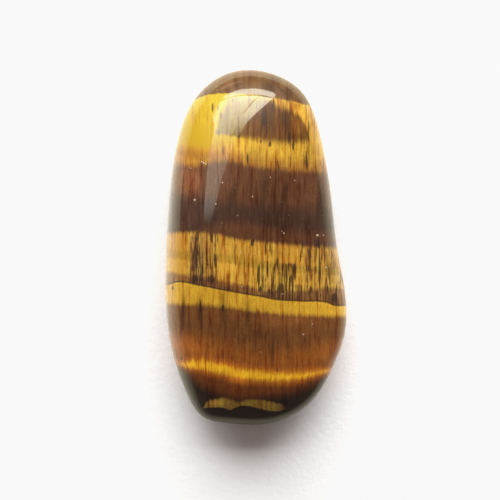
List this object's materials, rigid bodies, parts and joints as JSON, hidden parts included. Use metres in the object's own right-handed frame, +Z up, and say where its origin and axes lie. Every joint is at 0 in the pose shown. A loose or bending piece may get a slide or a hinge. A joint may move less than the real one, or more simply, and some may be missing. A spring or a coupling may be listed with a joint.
{
  "type": "polished tiger's eye pebble",
  "caption": "Elongated free-form pebble of banded golden-brown tiger's eye, polished to a glossy dome and flat underneath so that it lies steady.",
  "frame": {"origin": "centre of the bounding box's underside, on the surface the stone lies on", "axes": "+Z up, out of the domed face; +Y along the stone, towards its narrower end; +X across it"},
  "size_m": [0.0184, 0.036, 0.0081],
  "materials": {
    "stone": "high polish"
  },
  "bodies": {
    "root": {"stone": "stone"}
  },
  "joints": []
}
